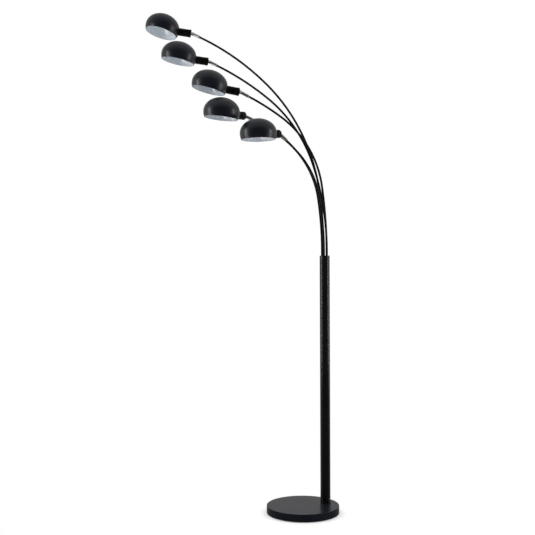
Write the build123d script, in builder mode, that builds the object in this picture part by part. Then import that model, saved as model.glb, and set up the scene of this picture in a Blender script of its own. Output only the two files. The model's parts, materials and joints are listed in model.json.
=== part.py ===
from build123d import *
import math
import os

os.makedirs("parts", exist_ok=True)

# A tree floor lamp: five bent arms fan out of one pole, and each carries a domed shade on a swivel.
# Millimetres and degrees. +Z is up, and the origin is the middle of the underside of the base.

# ---- fits ----
running_gap = 0.05  # radial, between a shaft and the hole it turns in
push_gap = 0.1  # radial, between a piece and the seat it is pushed into once
trim_gap = 0.2  # between a trimmed edge and the curved face it meets
turning_gap = 0.3  # between faces that slide past each other
screw_gap = 0.2  # radial, between a bulb's cap and its socket

# ---- base ----
base_diameter = 300
base_thickness = 30
base_edge_radius = 1.2
pad_thickness = 3
pad_margin = 8  # the pad stops short of the rim, so the disc seems to float
pole_offset = 100  # the pole stands off the middle of the disc, along +X
channel_width = 10  # groove in the underside, from the pole to the rim, for the mains lead
channel_depth = 9
grommet_length = 16
grommet_proud = 1.5
grommet_corner = 1
lead_diameter = 6

# ---- pole ----
pole_diameter = 42
pole_wall = 2
pole_lower_length = 847
pole_upper_length = 186
pole_edge_chamfer = 0.4  # on the tubes' outer edges where they meet, and at the top
joiner_length = 60
joiner_wall = 5
foot_plug_length = 45
foot_bolt_diameter = 16
foot_bolt_bore = 8
foot_bolt_reach = 40  # how far the bolt goes up into the plug
bolt_head_diameter = 30
bolt_head_height = 6
bolt_head_chamfer = 1
bolt_recess_depth = 10
bolt_recess_diameter = 34
grub_diameter = 6
grub_length = 7.6
grub_recess = 0.4  # how far a grub screw lies below the pole's face
grub_key = 3
foot_grub_height = 19  # above the top of the base
foot_grub_angles = (-60, 60, 180)
top_grub_depth = 24  # below the top of the pole

# ---- arms ----
arm_diameter = 9
arm_wall = 1
arm_seat_depth = 60  # how far an arm stands down in the top plug
arm_rise = 20  # straight stretch above the pole before the first bend
arm_circle_radius = 11  # of the circle that the five holes stand on
arm_holes_angle = 18.6  # of the first of the five holes
plug_floor = 5  # of the top plug, under the arms
plug_ledge = 0.8  # width of the ledge that an arm's end stands on

# ---- sleeve and swivel at the end of an arm ----
sleeve_diameter = 13
sleeve_length = 30
sleeve_neck = 14  # length of the narrow bore that the stem turns in
sleeve_chamfer = 1
stem_diameter = 6
stem_head_length = 2
stem_end_gap = 2  # between the stem's head and the end of the arm
collar_thickness = 1.2
eye_diameter = 13
eye_thickness = 4
swivel_pin_diameter = 4
rivet_diameter = 7
rivet_height = 1.2
wire_bore = 3

# ---- lamp head: X runs from the swivel's pin to the shade, Z points to the top of the dome ----
cup_diameter = 33
cup_length = 53  # from its end face to the widest side of the dome
cup_wall = 1.5
cup_end_wall = 3
cup_edge_radius = 1
band_diameter = 34
band_length = 9
shade_radius = 75
shade_rim_drop = 5.4  # how far the rim stands in from the widest place
shade_waist = 26  # height of the widest place above the rim
shade_height = 85
shade_wall = 1
shade_tilt = 6.6  # the dome leans back over the cup
cup_axis_height = 18.8  # above the rim, on the dome's own axis
holder_clearance = 1  # radial, between the lampholder's wide front and the cup's bore
holder_neck_diameter = 20
holder_flange_setback = 21  # from the dome's side back to the lampholder's flange
holder_flange_length = 5
holder_inside = 17  # how far the lampholder stands inside the dome's side
nipple_length = 9
socket_depth = 24
ring_width = 5
ring_inside = 7  # from the dome's side to the ring's front
bulb_cap_diameter = 13.9
bulb_cap_length = 24
bulb_cap_clearance = 2  # between the cap and the bottom of the socket
bulb_neck_length = 24  # from the cap to the middle of the globe
bulb_neck_angle = 150  # where the globe runs out into the neck
bulb_diameter = 40
bulb_wall = 1
knob_diameter = 17
knob_height = 4
knob_chamfer = 1
knob_boss_margin = 0.5  # of the flat boss under the knob, around it
knob_boss_height = 0.7
knob_boss_gap = 1  # between the boss and the cup's band
knob_shaft_diameter = 5
knob_shaft_gap = 0.6  # between the shaft's end and the lampholder's neck
knob_slot_width = 2
knob_slot_depth = 1

# ---- the five arms, from the highest head to the lowest ----
# hole: which of the five holes; heading: the way the arm leans, from +X; bends: (radius, angle) going up.
# aim, lift, roll: the way the cup points from the swivel to the shade, from +X, above level, and about itself.
arms = [
    dict(hole=1, heading=144.6, bends=((1825, 7.5), (830, 37), (1230, 18)), aim=163.5, lift=9, roll=6.5),
    dict(hole=4, heading=149.6, bends=((1160, 18), (635, 32), (1275, 12)), aim=180.5, lift=4.5, roll=-3.5),
    dict(hole=0, heading=163.6, bends=((1960, 8), (435, 45.5), (1060, 8.5)), aim=180.5, lift=7.5, roll=-3.5),
    dict(hole=2, heading=162.1, bends=((1510, 8.5), (385, 44.5), (770, 10.5)), aim=209, lift=-3, roll=-5.5),
    dict(hole=3, heading=167.6, bends=((1300, 10.5), (345, 31), (1105, 4)), aim=211.5, lift=-8, roll=0.5),
]

# ---- derived ----
base_top = pad_thickness + base_thickness
pole_joint_height = base_top + pole_lower_length
pole_top_height = pole_joint_height + pole_upper_length
pole_bore = pole_diameter - 2 * pole_wall
plug_diameter = pole_bore - 2 * push_gap
pole_plane = Plane(origin=(pole_offset, 0, 0))
top_grub_angle = arm_holes_angle + 180 / len(arms)
top_plug_length = arm_seat_depth + plug_floor
swivel_reach = eye_diameter / 2 + turning_gap + collar_thickness  # from the pin to the sleeve, and to the cup
sleeve_back = swivel_reach + sleeve_length
stem_shoulder = swivel_reach + sleeve_neck
arm_in_sleeve = sleeve_length - sleeve_neck - stem_head_length - stem_end_gap
cup_bore = cup_diameter - 2 * cup_wall
dome_side = swivel_reach + cup_length
shade_reach = dome_side + shade_radius  # from the pin to where the cup's axis crosses the dome's axis
rim_curve = (shade_rim_drop**2 + shade_waist**2) / (2 * shade_rim_drop)
holder_diameter = cup_bore - 2 * holder_clearance
holder_step = dome_side - holder_flange_setback
holder_front = dome_side + holder_inside
ring_front = dome_side + ring_inside
bulb_cap_back = holder_front - socket_depth + bulb_cap_clearance
bulb_neck = bulb_cap_back + bulb_cap_length
bulb_centre = bulb_neck + bulb_neck_length
knob_boss_diameter = knob_diameter + 2 * knob_boss_margin
knob_setback = band_length + knob_boss_gap + knob_boss_diameter / 2
knob_seat = cup_diameter / 2 + knob_boss_height
knob_shaft_end = holder_neck_diameter / 2 + knob_shaft_gap
knob_plane = Plane(origin=(swivel_reach + knob_setback, 0, 0), x_dir=(1, 0, 0), z_dir=(0, 1, 0))


def head_to_dome():
    """The dome's own plane: X outwards, Y up its axis, with its origin in the middle of the rim."""
    up = Vector(0, 0, 1).rotate(Axis.Y, -shade_tilt)
    out = Vector(1, 0, 0).rotate(Axis.Y, -shade_tilt)
    return Plane(origin=Vector(shade_reach, 0, 0) - up * cup_axis_height, x_dir=out, z_dir=(0, -1, 0))


dome_plane = head_to_dome()
dome_axis = Axis(dome_plane.origin, dome_plane.y_dir)


def grub_plane(angle, height):
    """A plane on a grub screw's axis, facing out of the pole."""
    out = Vector(1, 0, 0).rotate(Axis.Z, angle)
    return Plane(origin=Vector(pole_offset, 0, height), x_dir=(0, 0, 1), z_dir=out)


foot_grubs = [grub_plane(angle, base_top + foot_grub_height) for angle in foot_grub_angles]
top_grub = grub_plane(top_grub_angle, pole_top_height - top_grub_depth)
grub_outer = pole_diameter / 2 - grub_recess
grub_inner = grub_outer - grub_length


def drill_grubs(planes, depth_from):
    """Cut the grub screws' holes, from a distance off the pole's axis out through its wall."""
    for plane in planes:
        with BuildSketch(plane.offset(depth_from)) as hole:
            Circle(grub_diameter / 2 + push_gap)
        extrude(hole.sketch, amount=pole_diameter, mode=Mode.SUBTRACT)


# ---------------------------------------------------------------- base
with BuildPart() as base_disc:
    with BuildSketch(Plane.XY.offset(pad_thickness)):
        Circle(base_diameter / 2)
    extrude(amount=base_thickness)
    fillet(base_disc.edges().group_by(Axis.Z)[-1], base_edge_radius)
    with BuildSketch(pole_plane.offset(pad_thickness)):
        Circle(bolt_recess_diameter / 2)
    extrude(amount=bolt_recess_depth, mode=Mode.SUBTRACT)
    with BuildSketch(pole_plane.offset(pad_thickness)):
        Circle(foot_bolt_diameter / 2 + turning_gap)
    extrude(amount=base_thickness, mode=Mode.SUBTRACT)
    with BuildSketch(pole_plane.offset(pad_thickness)):
        Rectangle(base_diameter / 2, channel_width, align=(Align.MIN, Align.CENTER))
    extrude(amount=channel_depth, mode=Mode.SUBTRACT)
base_disc.part.label = "base_disc"
export_step(base_disc.part, "parts/base_disc.step")

with BuildPart() as base_pad:
    with BuildSketch():
        Circle(base_diameter / 2 - pad_margin)
        with Locations((pole_offset, 0)):
            Circle(bolt_recess_diameter / 2, mode=Mode.SUBTRACT)
    extrude(amount=pad_thickness)
base_pad.part.label = "base_pad"
export_step(base_pad.part, "parts/base_pad.step")

with BuildPart() as cord_grommet:
    with BuildSketch(Plane.YZ.offset(base_diameter / 2 + grommet_proud)):
        with Locations((0, pad_thickness + channel_depth / 2)):
            RectangleRounded(channel_width - 2 * push_gap, channel_depth - 2 * push_gap, grommet_corner)
            Circle(lead_diameter / 2 + turning_gap, mode=Mode.SUBTRACT)
    extrude(amount=-grommet_length)
cord_grommet.part.label = "cord_grommet"
export_step(cord_grommet.part, "parts/cord_grommet.step")

# ---------------------------------------------------------------- pole
with BuildPart() as foot_plug:
    with BuildSketch(pole_plane.offset(base_top)):
        Circle(plug_diameter / 2)
        Circle(foot_bolt_diameter / 2 + running_gap, mode=Mode.SUBTRACT)
    extrude(amount=foot_plug_length)
    drill_grubs(foot_grubs, grub_inner)
foot_plug.part.label = "foot_plug"
export_step(foot_plug.part, "parts/foot_plug.step")

bolt_seat = pad_thickness + bolt_recess_depth
with BuildPart() as foot_bolt:
    with BuildSketch(pole_plane.offset(bolt_seat - bolt_head_height)):
        Circle(bolt_head_diameter / 2)
    extrude(amount=bolt_head_height)
    chamfer(foot_bolt.edges().group_by(Axis.Z)[0], bolt_head_chamfer)
    with BuildSketch(pole_plane.offset(bolt_seat)):
        Circle(foot_bolt_diameter / 2)
    extrude(amount=base_top + foot_bolt_reach - bolt_seat)
    with BuildSketch(pole_plane):
        Circle(foot_bolt_bore / 2)
    extrude(amount=base_top + foot_bolt_reach, mode=Mode.SUBTRACT)
foot_bolt.part.label = "foot_bolt"
export_step(foot_bolt.part, "parts/foot_bolt.step")

with BuildPart() as pole_lower:
    with BuildSketch(pole_plane.offset(base_top)):
        Circle(pole_diameter / 2)
        Circle(pole_bore / 2, mode=Mode.SUBTRACT)
    extrude(amount=pole_lower_length)
    chamfer(pole_lower.edges().group_by(Axis.Z)[-1].sort_by(SortBy.LENGTH)[-1], pole_edge_chamfer)
    drill_grubs(foot_grubs, 0)
pole_lower.part.label = "pole_lower"
export_step(pole_lower.part, "parts/pole_lower.step")

with BuildPart() as pole_joiner:
    with BuildSketch(pole_plane.offset(pole_joint_height - joiner_length / 2)):
        Circle(plug_diameter / 2)
        Circle(plug_diameter / 2 - joiner_wall, mode=Mode.SUBTRACT)
    extrude(amount=joiner_length)
pole_joiner.part.label = "pole_joiner"
export_step(pole_joiner.part, "parts/pole_joiner.step")

with BuildPart() as pole_upper:
    with BuildSketch(pole_plane.offset(pole_joint_height)):
        Circle(pole_diameter / 2)
        Circle(pole_bore / 2, mode=Mode.SUBTRACT)
    extrude(amount=pole_upper_length)
    for end in (0, -1):
        chamfer(pole_upper.edges().group_by(Axis.Z)[end].sort_by(SortBy.LENGTH)[-1], pole_edge_chamfer)
    drill_grubs([top_grub], 0)
pole_upper.part.label = "pole_upper"
export_step(pole_upper.part, "parts/pole_upper.step")

with BuildPart() as top_plug:
    with BuildSketch(pole_plane.offset(pole_top_height - top_plug_length)):
        Circle(plug_diameter / 2)
        with PolarLocations(arm_circle_radius, len(arms), start_angle=arm_holes_angle):
            Circle(arm_diameter / 2 - plug_ledge, mode=Mode.SUBTRACT)
    extrude(amount=top_plug_length)
    with BuildSketch(pole_plane.offset(pole_top_height - arm_seat_depth)):
        with PolarLocations(arm_circle_radius, len(arms), start_angle=arm_holes_angle):
            Circle(arm_diameter / 2 + running_gap)
    extrude(amount=arm_seat_depth, mode=Mode.SUBTRACT)
    drill_grubs([top_grub], grub_inner)
top_plug.part.label = "top_plug"
export_step(top_plug.part, "parts/top_plug.step")

with BuildPart() as grub_screws:
    for plane in foot_grubs + [top_grub]:
        with BuildSketch(plane.offset(grub_inner)):
            Circle(grub_diameter / 2)
        extrude(amount=grub_length)
        with BuildSketch(plane.offset(grub_outer)):
            RegularPolygon(grub_key / 2, 6, major_radius=False)
        extrude(amount=-grub_length / 2, mode=Mode.SUBTRACT)
grub_screws.part.label = "grub_screws"
export_step(grub_screws.part, "parts/grub_screws.step")


# ---------------------------------------------------------------- the swivel at the end of an arm
# In a swivel's own frame the pin lies along X, and the piece runs along Z.
with BuildPart() as sleeve_form:
    with BuildSketch(Plane.XY.offset(-sleeve_back)):
        Circle(sleeve_diameter / 2)
    extrude(amount=sleeve_back - swivel_reach)
    chamfer(sleeve_form.edges().filter_by(GeomType.CIRCLE), sleeve_chamfer)
    with BuildSketch(Plane.XY.offset(-sleeve_back)):
        Circle(stem_diameter / 2 + running_gap)
    extrude(amount=sleeve_back, mode=Mode.SUBTRACT)
    with BuildSketch(Plane.XY.offset(-sleeve_back)):
        Circle(arm_diameter / 2 + push_gap)
    extrude(amount=sleeve_back - stem_shoulder, mode=Mode.SUBTRACT)

collar_top = collar_thickness - swivel_reach
with BuildPart() as stem_form:
    with BuildSketch(Plane.YZ.offset(running_gap)):
        Circle(eye_diameter / 2)
        Rectangle(eye_diameter, -collar_top, align=(Align.CENTER, Align.MAX))
        Circle(swivel_pin_diameter / 2 + running_gap, mode=Mode.SUBTRACT)
    extrude(amount=eye_thickness)
    with BuildSketch(Plane.XY.offset(collar_top)):
        Circle(eye_diameter / 2)
    extrude(amount=running_gap - collar_thickness)
    with BuildSketch(Plane.XY.offset(collar_top)):
        Circle(stem_diameter / 2)
    extrude(amount=-stem_shoulder - running_gap - collar_top)
    with BuildSketch(Plane.XY.offset(-stem_shoulder - running_gap)):
        Circle(arm_diameter / 2 - trim_gap)
    extrude(amount=-stem_head_length)
    with BuildSketch(Plane.XY.offset(-sleeve_back)):
        Circle(wire_bore / 2)
    extrude(amount=sleeve_back + collar_top + wire_bore / 2, mode=Mode.SUBTRACT)

flange_base = swivel_reach - collar_thickness
with BuildPart() as eye_form:
    with BuildSketch(Plane.YZ.offset(-running_gap)):
        Circle(eye_diameter / 2)
        Rectangle(eye_diameter, flange_base, align=(Align.CENTER, Align.MIN))
    extrude(amount=-eye_thickness)
    with BuildSketch(Plane.YZ.offset(-eye_thickness)):
        Circle(swivel_pin_diameter / 2)
    extrude(amount=2 * eye_thickness + 2 * running_gap + rivet_height)
    with BuildSketch(Plane.YZ.offset(eye_thickness + 2 * running_gap)):
        Circle(rivet_diameter / 2)
    extrude(amount=rivet_height)
    with BuildSketch(Plane.XY.offset(flange_base)):
        Circle(eye_diameter / 2)
    extrude(amount=collar_thickness)
    with BuildSketch(Plane.XY.offset(swivel_reach)):
        Circle(stem_diameter / 2)
    extrude(amount=nipple_length)
    with BuildSketch(Plane.XY.offset(flange_base - wire_bore / 2)):
        Circle(wire_bore / 2)
    extrude(amount=swivel_reach + nipple_length, mode=Mode.SUBTRACT)


# ---------------------------------------------------------------- the lamp head, in its own frame
def dome(growth, mode=Mode.ADD):
    """The space under the shade's outer face, with that face moved out by growth."""
    with BuildSketch(dome_plane) as half:
        with BuildLine():
            waist_centre = (shade_radius - rim_curve, shade_waist)
            drop = math.degrees(math.asin(shade_waist / (rim_curve + growth)))
            flank = CenterArc(waist_centre, rim_curve + growth, -drop, drop)
            rise = shade_height - shade_waist + growth
            crown = EllipticalCenterArc((0, shade_waist), shade_radius + growth, rise, arc_size=90)
            Polyline(crown @ 1, (0, 0), flank @ 0)
        make_face()
    revolve(half.sketch, axis=dome_axis, mode=mode)


with BuildPart() as cup_form:
    with BuildSketch(Plane.YZ.offset(swivel_reach)):
        Circle(band_diameter / 2)
    extrude(amount=band_length)
    fillet(cup_form.edges().filter_by(GeomType.CIRCLE), cup_edge_radius / 2)
    with BuildSketch(Plane.YZ.offset(swivel_reach + cup_edge_radius)):
        Circle(cup_diameter / 2)
    extrude(amount=shade_reach - swivel_reach - cup_edge_radius)
    with BuildSketch(knob_plane):
        Circle(knob_boss_diameter / 2)
    extrude(amount=knob_seat)
    with BuildSketch(Plane.YZ.offset(swivel_reach + cup_end_wall)):
        Circle(cup_bore / 2)
    extrude(amount=shade_reach, mode=Mode.SUBTRACT)
    with BuildSketch(Plane.YZ.offset(swivel_reach)):
        Circle(stem_diameter / 2 + push_gap)
    extrude(amount=cup_end_wall, mode=Mode.SUBTRACT)
    with BuildSketch(knob_plane):
        Circle(knob_shaft_diameter / 2 + running_gap)
    extrude(amount=knob_seat, mode=Mode.SUBTRACT)
    dome(trim_gap, mode=Mode.SUBTRACT)

with BuildPart() as holder_form:
    with BuildSketch(Plane.YZ.offset(swivel_reach + cup_end_wall)):
        Circle(holder_neck_diameter / 2)
    extrude(amount=holder_step - swivel_reach - cup_end_wall)
    with BuildSketch(Plane.YZ.offset(holder_step)):
        Circle(cup_bore / 2 - push_gap)
    extrude(amount=holder_flange_length)
    with BuildSketch(Plane.YZ.offset(holder_step)):
        Circle(holder_diameter / 2)
    extrude(amount=holder_front - holder_step)
    with BuildSketch(Plane.YZ.offset(holder_front)):
        Circle(bulb_cap_diameter / 2 + screw_gap)
    extrude(amount=-socket_depth, mode=Mode.SUBTRACT)
    with BuildSketch(Plane.YZ.offset(swivel_reach)):
        Circle(stem_diameter / 2 + running_gap)
    extrude(amount=nipple_length, mode=Mode.SUBTRACT)

with BuildPart() as shade_form:
    dome(0)
    dome(-shade_wall, mode=Mode.SUBTRACT)
    with BuildSketch(Plane.YZ):
        Circle(holder_diameter / 2 + push_gap)
    extrude(amount=shade_reach, mode=Mode.SUBTRACT)

with BuildPart() as ring_form:
    with BuildSketch(Plane.YZ.offset(ring_front)):
        Circle(holder_diameter / 2 + ring_width)
        Circle(holder_diameter / 2 + push_gap, mode=Mode.SUBTRACT)
    extrude(amount=-ring_front + swivel_reach)
    dome(-shade_wall - trim_gap, mode=Mode.INTERSECT)


def bulb_space(inset, mode=Mode.ADD):
    """The space inside the bulb's outline, with its sides moved in by inset."""
    radius = bulb_cap_diameter / 2 - inset
    with BuildSketch(Plane.XZ) as half:
        with BuildLine():
            globe = CenterArc((bulb_centre, 0), bulb_diameter / 2 - inset, 0, bulb_neck_angle)
            Polyline(globe @ 1, (bulb_neck, radius), (bulb_cap_back, radius), (bulb_cap_back, 0), globe @ 0)
        make_face()
    revolve(half.sketch, axis=Axis.X, mode=mode)


with BuildPart() as bulb_form:
    bulb_space(0)
    bulb_space(bulb_wall, mode=Mode.SUBTRACT)

knob_base = knob_seat + turning_gap
with BuildPart() as knob_form:
    with BuildSketch(knob_plane.offset(knob_base)):
        Circle(knob_diameter / 2)
    extrude(amount=knob_height)
    chamfer(knob_form.edges().group_by(Axis.Y)[-1], knob_chamfer)
    with BuildSketch(knob_plane.offset(knob_base + knob_height)):
        Rectangle(knob_diameter, knob_slot_width)
    extrude(amount=-knob_slot_depth, mode=Mode.SUBTRACT)
    with BuildSketch(knob_plane.offset(knob_shaft_end)):
        Circle(knob_shaft_diameter / 2)
    extrude(amount=knob_base - knob_shaft_end)


# ---------------------------------------------------------------- the arms and what they carry
def arm_plane(arm):
    """The upright plane that an arm is bent in: X away from the pole, Y up, origin at its hole."""
    turn = arm_holes_angle + arm["hole"] * 360 / len(arms)
    hole = Vector(arm_circle_radius, 0, 0).rotate(Axis.Z, turn) + Vector(pole_offset, 0, pole_top_height)
    out = Vector(1, 0, 0).rotate(Axis.Z, arm["heading"])
    return Plane(origin=hole, x_dir=out, z_dir=out.cross(Vector(0, 0, 1)))


def head_plane(arm, pin):
    """The head's frame at rest: X along the cup, Z towards the top of the dome."""
    level = Vector(1, 0, 0).rotate(Axis.Z, arm["aim"])
    side = Vector(0, 1, 0).rotate(Axis.Z, arm["aim"])
    cup = level.rotate(Axis((0, 0, 0), side), -arm["lift"])
    top = cup.cross(side).rotate(Axis((0, 0, 0), cup), arm["roll"])
    return Plane(origin=pin, x_dir=cup, z_dir=top)


swivels = []
for number, arm in enumerate(arms, start=1):
    with BuildPart() as arm_tube:
        with BuildLine(arm_plane(arm)) as path:
            run = Line((0, -arm_seat_depth), (0, arm_rise))
            for radius, angle in arm["bends"]:
                run = JernArc(run @ 1, run % 1, radius, -angle)
            Line(run @ 1, run @ 1 + (run % 1) * arm_in_sleeve)
        with BuildSketch(Plane(origin=path.line @ 0, z_dir=path.line % 0)):
            Circle(arm_diameter / 2)
            Circle(arm_diameter / 2 - arm_wall, mode=Mode.SUBTRACT)
        sweep()
    arm_tube.part.label = f"arm_{number}"
    export_step(arm_tube.part, f"parts/arm_{number}.step")

    along = path.line % 1
    pin = path.line @ 1 + along * (sleeve_back - arm_in_sleeve)
    head = head_plane(arm, pin)
    tilt_axis = head.x_dir.cross(along).normalized()
    stem_place = Plane(origin=pin, x_dir=tilt_axis, z_dir=along)
    eye_place = Plane(origin=pin, x_dir=tilt_axis, z_dir=head.x_dir)
    swivels.append(dict(arm=arm_plane(arm), stem=stem_place, head=head))
    placed = (
        ("arm_sleeve", sleeve_form, stem_place),
        ("swivel_stem", stem_form, stem_place),
        ("swivel_eye", eye_form, eye_place),
        ("socket_cup", cup_form, head),
        ("lamp_holder", holder_form, head),
        ("shade", shade_form, head),
        ("shade_ring", ring_form, head),
        ("bulb", bulb_form, head),
        ("switch_knob", knob_form, head),
    )
    for name, form, place in placed:
        with BuildPart() as piece:
            add(form.part.moved(place.location))
        piece.part.label = f"{name}_{number}"
        export_step(piece.part, f"parts/{name}_{number}.step")
    tube_length = path.wires()[0].length
    tube_volume = math.pi * arm_wall * (arm_diameter - arm_wall) * tube_length
    print(f"arm {number}: {tube_length:.0f} mm, volume over section times length {arm_tube.part.volume / tube_volume:.5f}")
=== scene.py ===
import json
import math

import bmesh
import bpy
from mathutils import Matrix, Vector


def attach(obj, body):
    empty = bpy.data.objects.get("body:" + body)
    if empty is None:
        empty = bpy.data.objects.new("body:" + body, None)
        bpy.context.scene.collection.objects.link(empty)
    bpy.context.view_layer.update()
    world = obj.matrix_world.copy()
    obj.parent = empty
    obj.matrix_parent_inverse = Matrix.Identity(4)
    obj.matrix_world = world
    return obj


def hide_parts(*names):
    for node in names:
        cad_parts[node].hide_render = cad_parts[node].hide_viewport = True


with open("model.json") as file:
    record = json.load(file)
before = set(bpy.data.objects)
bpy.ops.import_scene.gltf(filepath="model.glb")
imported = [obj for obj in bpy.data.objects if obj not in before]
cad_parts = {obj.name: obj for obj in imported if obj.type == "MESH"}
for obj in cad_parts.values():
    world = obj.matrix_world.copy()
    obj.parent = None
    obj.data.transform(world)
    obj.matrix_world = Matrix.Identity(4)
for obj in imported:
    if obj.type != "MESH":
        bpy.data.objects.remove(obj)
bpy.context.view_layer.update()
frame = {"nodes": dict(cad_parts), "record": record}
mm = 0.001
headNumbers = range(1, 6)
print("frame loaded:", len(frame["nodes"]), "nodes")


def linearColour(hexCode):
    # sRGB hex code to linear RGBA
    channels = [int(hexCode[i:i + 2], 16) / 255 for i in (1, 3, 5)]
    linear = [c / 12.92 if c <= 0.04045 else ((c + 0.055) / 1.055) ** 2.4 for c in channels]
    return (*linear, 1.0)


def addNode(tree, kind, settings=None, links=None):
    # settings: attributes and unlinked inputs; links: input name -> (node, output name)
    node = tree.nodes.new(kind)
    for key, value in (settings or {}).items():
        if isinstance(key, int) or key in node.inputs:
            node.inputs[key].default_value = value
        else:
            setattr(node, key, value)
    for key, (source, output) in (links or {}).items():
        tree.links.new(source.outputs[output], node.inputs[key])
    return node


def newMaterial(name):
    material = bpy.data.materials.new(name)
    material.use_nodes = True
    material.node_tree.nodes.clear()
    return material, material.node_tree


def perMetre(millimetres):
    return 1000 / millimetres  # pattern scale whose features are about this many millimetres


# In the finishes, "relief" is the fine texture on a surface and "drift" the slow change across it, each
# a noise as (feature in mm, detail). The drift passes from the first colour to the second between the two
# stops. "depth" is the relief's height in mm, and "sockets" are the shader's own uniform values.

# Powder coat: polyester powder baked on metal. The eye sees a soft sheen with a fine orange peel and
# no brush marks. The peel is about 1 mm across; it is drawn at that size and shows only near the lights.
powder = {"drift": (60, 3.0), "stops": (0.35, 0.75), "depth": 0.1}
powderCoats = {
    "base": {
        **powder, "colours": ("#101117", "#16171d"), "relief": (1.4, 2.0), "strength": 0.03,
        "roughness": (0.26, 0.34), "sockets": {"IOR": 1.45, "Specular IOR Level": 0.14},
    },
    "pole": {
        **powder, "colours": ("#07070a", "#0b0b0e"), "relief": (1.2, 2.0), "strength": 0.015,
        "roughness": (0.21, 0.27), "sockets": {"IOR": 1.45, "Specular IOR Level": 0.38},
    },
    "arm": {
        **powder, "colours": ("#060607", "#0a0a0b"), "relief": (0.9, 2.0), "strength": 0.01,
        "roughness": (0.30, 0.38), "sockets": {"IOR": 1.45, "Specular IOR Level": 0.12},
    },
}

# Spun steel in satin black enamel. Spinning leaves faint rings about the dome's axis, 2 mm apart,
# which the enamel fills almost level: they only break up the edge of a highlight.
domeEnamel = {
    "colours": ("#080b15", "#0e111c"), "drift": (45, 3.0), "stops": (0.35, 0.75),
    "relief": (1.2, 2.0), "strength": 0.06, "depth": 0.1, "ringSpacing": 2.0, "ringShare": 0.3,
    "roughness": (0.32, 0.38), "sockets": {"IOR": 1.5, "Specular IOR Level": 0.36},
}

# White stove enamel inside the shade: a cool white, a little glossy and very slightly uneven.
insideEnamel = {
    "colours": ("#d3d9df", "#cbd0d6"), "drift": (30, 2.0), "stops": (0.3, 0.8),
    "relief": (2.5, 2.0), "strength": 0.08, "depth": 0.1, "sockets": {"IOR": 1.5, "Roughness": 0.35},
}

# Satin nickel plate on turned brass: grey and a little warm, with turning marks too fine to see
# (about 0.05 mm), so they are drawn 0.6 mm apart to give the soft band of light that they cause.
nickelPlate = {
    "colours": ("#b5b4b1", "#a09f9c"), "drift": (12, 2.0), "stops": (0.3, 0.8),
    "relief": (0.6, 3.0), "strength": 0.05, "depth": 0.05,
    "roughness": (0.35, 0.45), "roughnessFrom": "relief", "sockets": {"Metallic": 1.0},
}

# Zinc plate on the hidden steel fixings: darker and cooler than the nickel, with coarser marks.
zincPlate = {
    **nickelPlate, "colours": ("#a7a9ac", "#8a8c90"), "relief": (0.8, 3.0), "roughness": (0.34, 0.46),
}

# Mouldings: phenolic cup and knob, black with a fine spark-eroded grain that kills the shine, a white
# thermoset for the lampholder and its ring, and the matt rubber of the pad and the grommet.
moulding = {"drift": (18, 2.0), "stops": (0.3, 0.8), "depth": 0.1}
mouldings = {
    "cup": {
        **moulding, "colours": ("#060607", "#0a0a0b"), "relief": (0.5, 4.0), "strength": 0.12,
        "roughness": (0.42, 0.52), "sockets": {"IOR": 1.5, "Specular IOR Level": 0.08},
    },
    "holder": {
        **moulding, "colours": ("#d2d1cd", "#dcdbd8"), "relief": (0.6, 4.0), "strength": 0.06,
        "roughness": (0.40, 0.48), "sockets": {"IOR": 1.5, "Specular IOR Level": 0.5},
    },
    "rubber": {
        **moulding, "colours": ("#141414", "#1c1c1c"), "relief": (0.7, 4.0), "strength": 0.25,
        "roughness": (0.7, 0.82), "sockets": {"IOR": 1.5, "Specular IOR Level": 0.5},
    },
}

# Opal glass: a white flashed layer under clear glass, so it is milky with a sharp gloss on top.
opalGlass = {"drift": (25, 1.0), "roughness": (0.18, 0.26), "colour": "#bcc0c5", "ior": 1.5}


def addRings(tree, place, relief, spec, toDome):
    # spinning rings over the relief, in the dome's own frame so that they run about its axis
    turn = toDome.to_euler()
    shift = toDome.to_translation()
    local = addNode(tree, "ShaderNodeMapping", {"Rotation": turn, "Location": shift},
                    {"Vector": (place, "Object")})
    height = addNode(tree, "ShaderNodeSeparateXYZ", links={"Vector": (local, "Vector")})
    pace = math.tau * perMetre(spec["ringSpacing"])
    angle = addNode(tree, "ShaderNodeMath", {"operation": "MULTIPLY", 1: pace}, {0: (height, "Z")})
    wave = addNode(tree, "ShaderNodeMath", {"operation": "SINE"}, {0: (angle, "Value")})
    return addNode(tree, "ShaderNodeMath", {"operation": "MULTIPLY_ADD", 1: spec["ringShare"]},
                   {0: (wave, "Value"), 2: (relief, "Fac")})


def makeFinish(name, spec, toDome=None):
    material, tree = newMaterial(name)
    place = addNode(tree, "ShaderNodeTexCoord")
    noises = {}
    for key in ("relief", "drift"):
        feature, detail = spec[key]
        noises[key] = addNode(tree, "ShaderNodeTexNoise", {"Scale": perMetre(feature), "Detail": detail},
                              {"Vector": (place, "Object")})
    tint = addNode(tree, "ShaderNodeValToRGB", links={"Fac": (noises["drift"], "Fac")})
    for element, position, colour in zip(tint.color_ramp.elements, spec["stops"], spec["colours"]):
        element.position = position
        element.color = linearColour(colour)
    height = (noises["relief"], "Fac")
    if toDome is not None:
        height = (addRings(tree, place, noises["relief"], spec, toDome), "Value")
    bump = addNode(tree, "ShaderNodeBump", {"Strength": spec["strength"], "Distance": spec["depth"] * mm},
                   {"Height": height})
    links = {"Base Color": (tint, "Color"), "Normal": (bump, "Normal")}
    if "roughness" in spec:
        low, high = spec["roughness"]
        source = noises[spec.get("roughnessFrom", "drift")]
        gloss = addNode(tree, "ShaderNodeMapRange", {"To Min": low, "To Max": high},
                        {"Value": (source, "Fac")})
        links["Roughness"] = (gloss, "Result")
    shader = addNode(tree, "ShaderNodeBsdfPrincipled", spec["sockets"], links)
    addNode(tree, "ShaderNodeOutputMaterial", links={"Surface": (shader, 0)})
    return material


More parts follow.
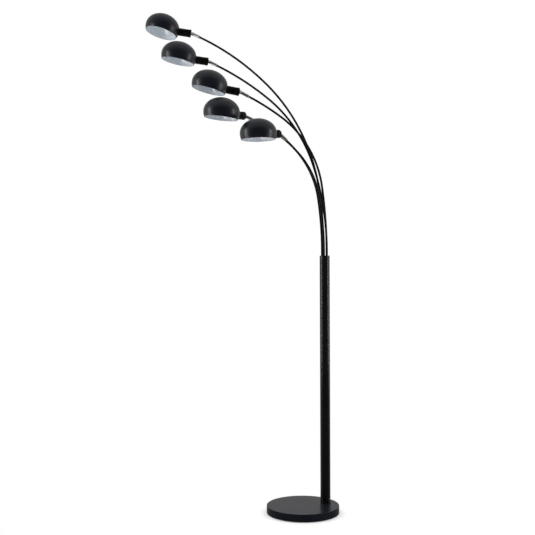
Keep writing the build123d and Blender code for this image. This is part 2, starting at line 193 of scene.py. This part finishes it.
def makeOpal(name, spec):
    material, tree = newMaterial(name)
    place = addNode(tree, "ShaderNodeTexCoord")
    feature, detail = spec["drift"]
    drift = addNode(tree, "ShaderNodeTexNoise", {"Scale": perMetre(feature), "Detail": detail},
                    {"Vector": (place, "Object")})
    low, high = spec["roughness"]
    gloss = addNode(tree, "ShaderNodeMapRange", {"To Min": low, "To Max": high}, {"Value": (drift, "Fac")})
    sockets = {"Base Color": linearColour(spec["colour"]), "IOR": spec["ior"]}
    shader = addNode(tree, "ShaderNodeBsdfPrincipled", sockets, {"Roughness": (gloss, "Result")})
    addNode(tree, "ShaderNodeOutputMaterial", links={"Surface": (shader, 0)})
    return material


finishes = {
    "base_black": makeFinish("powder coat on cast iron, satin black", powderCoats["base"]),
    "pole_black": makeFinish("powder coat on steel tube, semi gloss black", powderCoats["pole"]),
    "arm_black": makeFinish("powder coat on bent steel tube, satin black", powderCoats["arm"]),
    "cup_black": makeFinish("phenolic moulding, matt black", mouldings["cup"]),
    "holder_white": makeFinish("thermoset moulding, white", mouldings["holder"]),
    "satin_nickel": makeFinish("satin nickel plate on turned brass", nickelPlate),
    "steel": makeFinish("zinc plated steel", zincPlate),
    "rubber": makeFinish("moulded rubber, matt black", mouldings["rubber"]),
    "opal_glass": makeOpal("blown opal glass", opalGlass),
}
insideWhite = makeFinish("stove enamel, white", insideEnamel)
slotOf = {part["node"]: part["material_slot"] for part in frame["record"]["subparts"]}
for nodeName, nodeObject in frame["nodes"].items():
    if slotOf[nodeName] in finishes:
        for materialSlot in nodeObject.material_slots:
            materialSlot.material = finishes[slotOf[nodeName]]
print("materials made")


# the five heads' frames come from their joints
joints = {joint["name"]: joint for joint in frame["record"]["behaviour"]["joints"]}


def headFrame(number):
    # X from the swivel pin along the cup, Y out through the knob, Z to the top of the dome
    pin = Vector(joints[f"head_tilt_{number}"]["pos_m"])
    knob = joints[f"switch_turn_{number}"]
    side = Vector(knob["axis"]).normalized()
    along = Vector(knob["pos_m"]) - pin
    along = (along - side * along.dot(side)).normalized()
    top = along.cross(side)
    axes = Matrix((along, side, top)).transposed().to_4x4()
    return Matrix.Translation(pin) @ axes


def cupFrame(number):
    # the head's frame with its Z turned along the cup, for what is round about that axis
    return headFrame(number) @ Matrix.Rotation(math.pi / 2, 4, "Y")


onAxis = 1e-7  # a smaller radius, in metres, is a point on the axis
crispAngle = 35  # an edge that turns by more degrees stays sharp


def latheMesh(name, profile, segments, place, materials):
    # profile: list of (radius, height, material index of the band above it), turned about local Z
    mesh = bmesh.new()
    angles = [math.tau * i / segments for i in range(segments)]
    rings = []
    for radius, height, _ in profile:
        spots = [Vector((radius * math.cos(a), radius * math.sin(a), height)) for a in angles]
        if radius < onAxis:
            spots = [Vector((0, 0, height))]
        rings.append([mesh.verts.new(place @ spot) for spot in spots])
    for low, high, (_, _, band) in zip(rings, rings[1:], profile):
        for i in range(segments):
            j = (i + 1) % segments
            corners = [low[i % len(low)], low[j % len(low)], high[j % len(high)], high[i % len(high)]]
            corners = list(dict.fromkeys(corners))
            if len(corners) > 2:
                face = mesh.faces.new(corners)
                face.material_index = band
                face.smooth = True
    bmesh.ops.recalc_face_normals(mesh, faces=mesh.faces)
    data = bpy.data.meshes.new(name)
    mesh.to_mesh(data)
    mesh.free()
    data.set_sharp_from_angle(angle=math.radians(crispAngle))
    for material in materials:
        data.materials.append(material)
    piece = bpy.data.objects.new(name, data)
    bpy.context.scene.collection.objects.link(piece)
    return piece


def arcPoints(centre, radius, start, end, steps):
    # points of an arc as (radius, height), from start to end in degrees
    angles = [math.radians(start + (end - start) * i / steps) for i in range(steps + 1)]
    return [(centre[0] + radius * math.cos(a), centre[1] + radius * math.sin(a)) for a in angles]


def cutWith(piece, cutter):
    # take the cutter's space out of the piece and keep the result as its mesh
    modifier = piece.modifiers.new("cut", "BOOLEAN")
    modifier.object = cutter
    modifier.solver = "EXACT"
    depsgraph = bpy.context.evaluated_depsgraph_get()
    data = bpy.data.meshes.new_from_object(piece.evaluated_get(depsgraph))
    piece.modifiers.clear()
    piece.data = data
    bpy.data.objects.remove(cutter)


# Shades: spun domes, black outside and white inside, with a small rolled rim. The dome is widest at its
# waist and draws in to the rim below it. The walls end at wallStart, just above the rim, and the bead
# closes them from below.
shade = {
    "reach": 136 * mm, "axisHeight": 18.8 * mm, "tilt": 6.6, "radius": 75 * mm, "rimRadius": 69.6 * mm,
    "waist": 26 * mm, "height": 85 * mm, "wall": 1.0 * mm, "wallStart": 1.35 * mm,
    "segments": 144, "flankSteps": 8, "crownSteps": 30,
    "bead": 0.9 * mm, "beadArc": (-160, -20), "beadSteps": 8,
    "holeRadius": 14.1 * mm, "holeSegments": 64,
}


def shadeOutline(spec, inset):
    # from the rim up to the crown, as (radius, height)
    drop = spec["radius"] - spec["rimRadius"]
    curve = (drop ** 2 + spec["waist"] ** 2) / (2 * drop)
    flankAngle = math.degrees(math.asin(spec["waist"] / curve))
    centre = (spec["radius"] - curve, spec["waist"])
    flank = arcPoints(centre, curve - inset, -flankAngle, 0, spec["flankSteps"])
    wide = spec["radius"] - inset
    rise = spec["height"] - spec["waist"] - inset
    quarter = [math.pi / 2 * i / spec["crownSteps"] for i in range(1, spec["crownSteps"] + 1)]
    crown = [(wide * math.cos(a), spec["waist"] + rise * math.sin(a)) for a in quarter]
    return [(r, h) for r, h in flank + crown if h > spec["wallStart"]]


def makeShade(number, spec):
    head = headFrame(number)
    lean = Matrix.Rotation(math.radians(-spec["tilt"]), 4, "Y")
    middle = Matrix.Translation(Vector((spec["reach"], 0, 0)))
    dome = head @ middle @ lean @ Matrix.Translation(Vector((0, 0, -spec["axisHeight"])))
    inside = shadeOutline(spec, spec["wall"])
    beadCentre = (spec["rimRadius"] - spec["wall"] / 2, spec["bead"])
    bead = arcPoints(beadCentre, spec["bead"], *spec["beadArc"], spec["beadSteps"])
    profile = [(r, h, 1) for r, h in reversed(inside)]
    profile += [(r, h, 0) for r, h in bead + shadeOutline(spec, 0)]
    black = makeFinish(f"satin black enamel on spun steel {number}", domeEnamel, dome.inverted())
    piece = latheMesh(f"spun_shade_{number}", profile, spec["segments"], dome, [black, insideWhite])
    # the hole in the side that the lampholder comes through
    hole, reach = spec["holeRadius"], spec["reach"]
    drill = [(0, 0, 0), (hole, 0, 0), (hole, reach, 0), (0, reach, 0)]
    cutWith(piece, latheMesh("drill", drill, spec["holeSegments"], cupFrame(number), [black]))
    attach(piece, f"lamp_head_{number}")
    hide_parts(f"shade_{number}")


for number in headNumbers:
    makeShade(number, shade)
print("shades made")


# Bulbs: an opal globe with a nickel screw cap. Heights run from the swivel pin along the cup. The globe
# begins neckAngle degrees behind its widest ring, and its neck sits a little way inside the cap.
bulb = {
    "centre": 104 * mm, "radius": 20 * mm, "neckAngle": 60, "globeSteps": 28, "globeSegments": 64,
    "neck": 80 * mm, "neckDepth": 1 * mm, "neckShare": 0.98,
    "capRadius": 6.95 * mm, "capBack": 56 * mm, "backShare": 0.55, "capLip": 0.5 * mm, "capSegments": 48,
    "threadStart": 3 * mm, "threadLength": 20 * mm, "threadPitch": 3.0 * mm, "threadDepth": 0.5 * mm,
    "threadPoints": 8,
}


def globeProfile(spec):
    neckRadius = spec["capRadius"] * spec["neckShare"]
    neckStart = spec["neck"] - spec["neckDepth"]
    centre = (0, spec["centre"])
    globe = arcPoints(centre, spec["radius"], -spec["neckAngle"], 90, spec["globeSteps"])
    points = [(0, neckStart), (neckRadius, neckStart), (neckRadius, spec["neck"])]
    points += globe[:-1] + [(0, spec["centre"] + spec["radius"])]
    return [(r, h, 0) for r, h in points]


def capProfile(spec):
    # the screw thread is drawn as rings, one wave to each turn
    lip = spec["neck"] - spec["capLip"]
    perTurn = spec["threadPoints"]
    points = [(0, spec["capBack"]), (spec["capRadius"] * spec["backShare"], spec["capBack"])]
    for i in range(int(spec["threadLength"] / spec["threadPitch"] * perTurn) + 1):
        height = spec["capBack"] + spec["threadStart"] + i * spec["threadPitch"] / perTurn
        radius = spec["capRadius"] - spec["threadDepth"] * (0.5 + 0.5 * math.cos(math.tau * i / perTurn))
        points.append((radius, height))
    points += [(spec["capRadius"], lip), (0, lip)]
    return [(r, h, 0) for r, h in points]


def makeBulb(number, spec):
    place = cupFrame(number)
    glass = latheMesh(f"bulb_globe_{number}", globeProfile(spec), spec["globeSegments"], place,
                      [finishes["opal_glass"]])
    screwCap = latheMesh(f"bulb_cap_{number}", capProfile(spec), spec["capSegments"], place,
                         [finishes["satin_nickel"]])
    for piece, slotName in ((glass, "opal_glass"), (screwCap, "satin_nickel")):
        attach(piece, f"lamp_head_{number}")
    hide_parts(f"bulb_{number}")


for number in headNumbers:
    makeBulb(number, bulb)
print("bulbs made")


# the camera stands level, at the photograph's angle
camera = {
    "place": (-1.2438, -3.4939, 1.017), "heading": -17.378, "roll": -0.195,
    "focalPixels": 894, "imagePixels": 535, "sensor": 36,
}


def makeCamera(spec):
    data = bpy.data.cameras.new("camera")
    data.sensor_width = spec["sensor"]
    data.lens = spec["focalPixels"] / spec["imagePixels"] * spec["sensor"]
    item = bpy.data.objects.new("camera", data)
    turn = Matrix.Rotation(math.radians(spec["heading"]), 4, "Z") @ Matrix.Rotation(math.pi / 2, 4, "X")
    roll = Matrix.Rotation(math.radians(spec["roll"]), 4, "Z")
    item.matrix_world = Matrix.Translation(spec["place"]) @ turn @ roll
    bpy.context.scene.collection.objects.link(item)
    bpy.context.scene.camera = item


makeCamera(camera)


# white floor and surroundings, and a tall soft strip of light to the left and right of the lamp
studio = {
    "floorSize": 14.0, "paper": "#f2f2f2", "shadowDepth": 0.75, "shadowReach": (0.148, 0.19),
    "surround": 0.95,
    # the room as gloss shows it: bright behind and above the lamp, dim and low on the camera's side
    "mirroredBehind": 0.62, "mirroredFront": 0.08, "mirroredDip": 0.6, "mirroredTurn": (-0.15, 0.5),
    "mirroredFloor": (-0.5, 0.25),
    "lights": [
        {"name": "left strip", "at": (-1.9, -0.35, 1.35), "size": (0.18, 1.9), "power": 18},
        {"name": "right strip", "at": (1.9, -0.35, 1.35), "size": (0.18, 1.9), "power": 18},
    ],
    "aim": (-0.1, 0.0, 1.35),
}
white = {"Color": (1, 1, 1, 1)}


def byRay(tree, plain, mirrored, seen):
    # plain lights the lamp, mirrored is what its gloss shows, and seen is what the eye and glass show
    path = addNode(tree, "ShaderNodeLightPath")
    gloss = addNode(tree, "ShaderNodeMixShader",
                    links={"Fac": (path, "Is Glossy Ray"), 1: (plain, 0), 2: (mirrored, 0)})
    direct = addNode(tree, "ShaderNodeMath", {"operation": "MAXIMUM"},
                     {0: (path, "Is Camera Ray"), 1: (path, "Is Transmission Ray")})
    return addNode(tree, "ShaderNodeMixShader",
                   links={"Fac": (direct, "Value"), 1: (gloss, 0), 2: (seen, 0)})


def mirroredLevel(tree, place, output, edges, spec):
    # the direction is fixed in the room, wherever the lamp is seen from
    heading = math.radians(camera["heading"])
    towards = (math.sin(heading), -math.cos(heading), -spec["mirroredDip"])
    facing = addNode(tree, "ShaderNodeVectorMath", {"operation": "DOT_PRODUCT", 1: towards},
                     {0: (place, output)})
    return addNode(tree, "ShaderNodeMapRange",
                   {"interpolation_type": "SMOOTHSTEP", "From Min": edges[0], "From Max": edges[1],
                    "To Min": spec["mirroredBehind"], "To Max": spec["mirroredFront"]},
                   {"Value": (facing, "Value")})


def makeFloor(spec):
    half = spec["floorSize"] / 2
    corners = [(-half, -half, 0), (half, -half, 0), (half, half, 0), (-half, half, 0)]
    data = bpy.data.meshes.new("floor")
    data.from_pydata(corners, [], [(0, 1, 2, 3)])
    floor = bpy.data.objects.new("floor", data)
    bpy.context.scene.collection.objects.link(floor)
    material, tree = newMaterial("white paper sweep")
    paper = addNode(tree, "ShaderNodeBsdfDiffuse", {"Color": linearColour(spec["paper"])})
    glow = addNode(tree, "ShaderNodeEmission", {**white, "Strength": 1.0})
    # the eye sees white paper that keeps the lamp's shadow close to the base
    place = addNode(tree, "ShaderNodeTexCoord")
    distance = addNode(tree, "ShaderNodeVectorMath", {"operation": "LENGTH"}, {0: (place, "Object")})
    near, far = spec["shadowReach"]
    fade = addNode(tree, "ShaderNodeMapRange",
                   {"interpolation_type": "SMOOTHSTEP", "From Min": near, "From Max": far,
                    "To Min": spec["shadowDepth"], "To Max": 0.0}, {"Value": (distance, "Value")})
    shaded = addNode(tree, "ShaderNodeMixShader",
                     links={"Fac": (fade, "Result"), 1: (glow, 0), 2: (paper, 0)})
    level = mirroredLevel(tree, place, "Object", spec["mirroredFloor"], spec)
    mirrored = addNode(tree, "ShaderNodeEmission", white, {"Strength": (level, "Result")})
    surface = byRay(tree, paper, mirrored, shaded)
    addNode(tree, "ShaderNodeOutputMaterial", links={"Surface": (surface, 0)})
    data.materials.append(material)


def makeSurround(spec):
    world = bpy.data.worlds.new("studio")
    world.use_nodes = True
    tree = world.node_tree
    tree.nodes.clear()
    plain = addNode(tree, "ShaderNodeBackground", {**white, "Strength": spec["surround"]})
    seenWhite = addNode(tree, "ShaderNodeBackground", {**white, "Strength": 1.0})
    place = addNode(tree, "ShaderNodeTexCoord")
    level = mirroredLevel(tree, place, "Generated", spec["mirroredTurn"], spec)
    mirrored = addNode(tree, "ShaderNodeBackground", white, {"Strength": (level, "Result")})
    room = byRay(tree, plain, mirrored, seenWhite)
    addNode(tree, "ShaderNodeOutputWorld", links={"Surface": (room, 0)})
    bpy.context.scene.world = world


def makeLights(spec):
    toCamera = Matrix.Rotation(math.radians(camera["heading"]), 3, "Z")
    for light in spec["lights"]:
        lamp = bpy.data.lights.new(light["name"], "AREA")
        lamp.shape = "RECTANGLE"
        lamp.size, lamp.size_y = light["size"]
        lamp.energy = light["power"]
        item = bpy.data.objects.new(light["name"], lamp)
        item.location = toCamera @ Vector(light["at"])
        aim = Vector(spec["aim"]) - item.location
        item.rotation_euler = aim.to_track_quat("-Z", "Y").to_euler()
        bpy.context.scene.collection.objects.link(item)


makeFloor(studio)
makeSurround(studio)
makeLights(studio)
bpy.context.scene.view_settings.view_transform = "Standard"
print("camera and studio made")
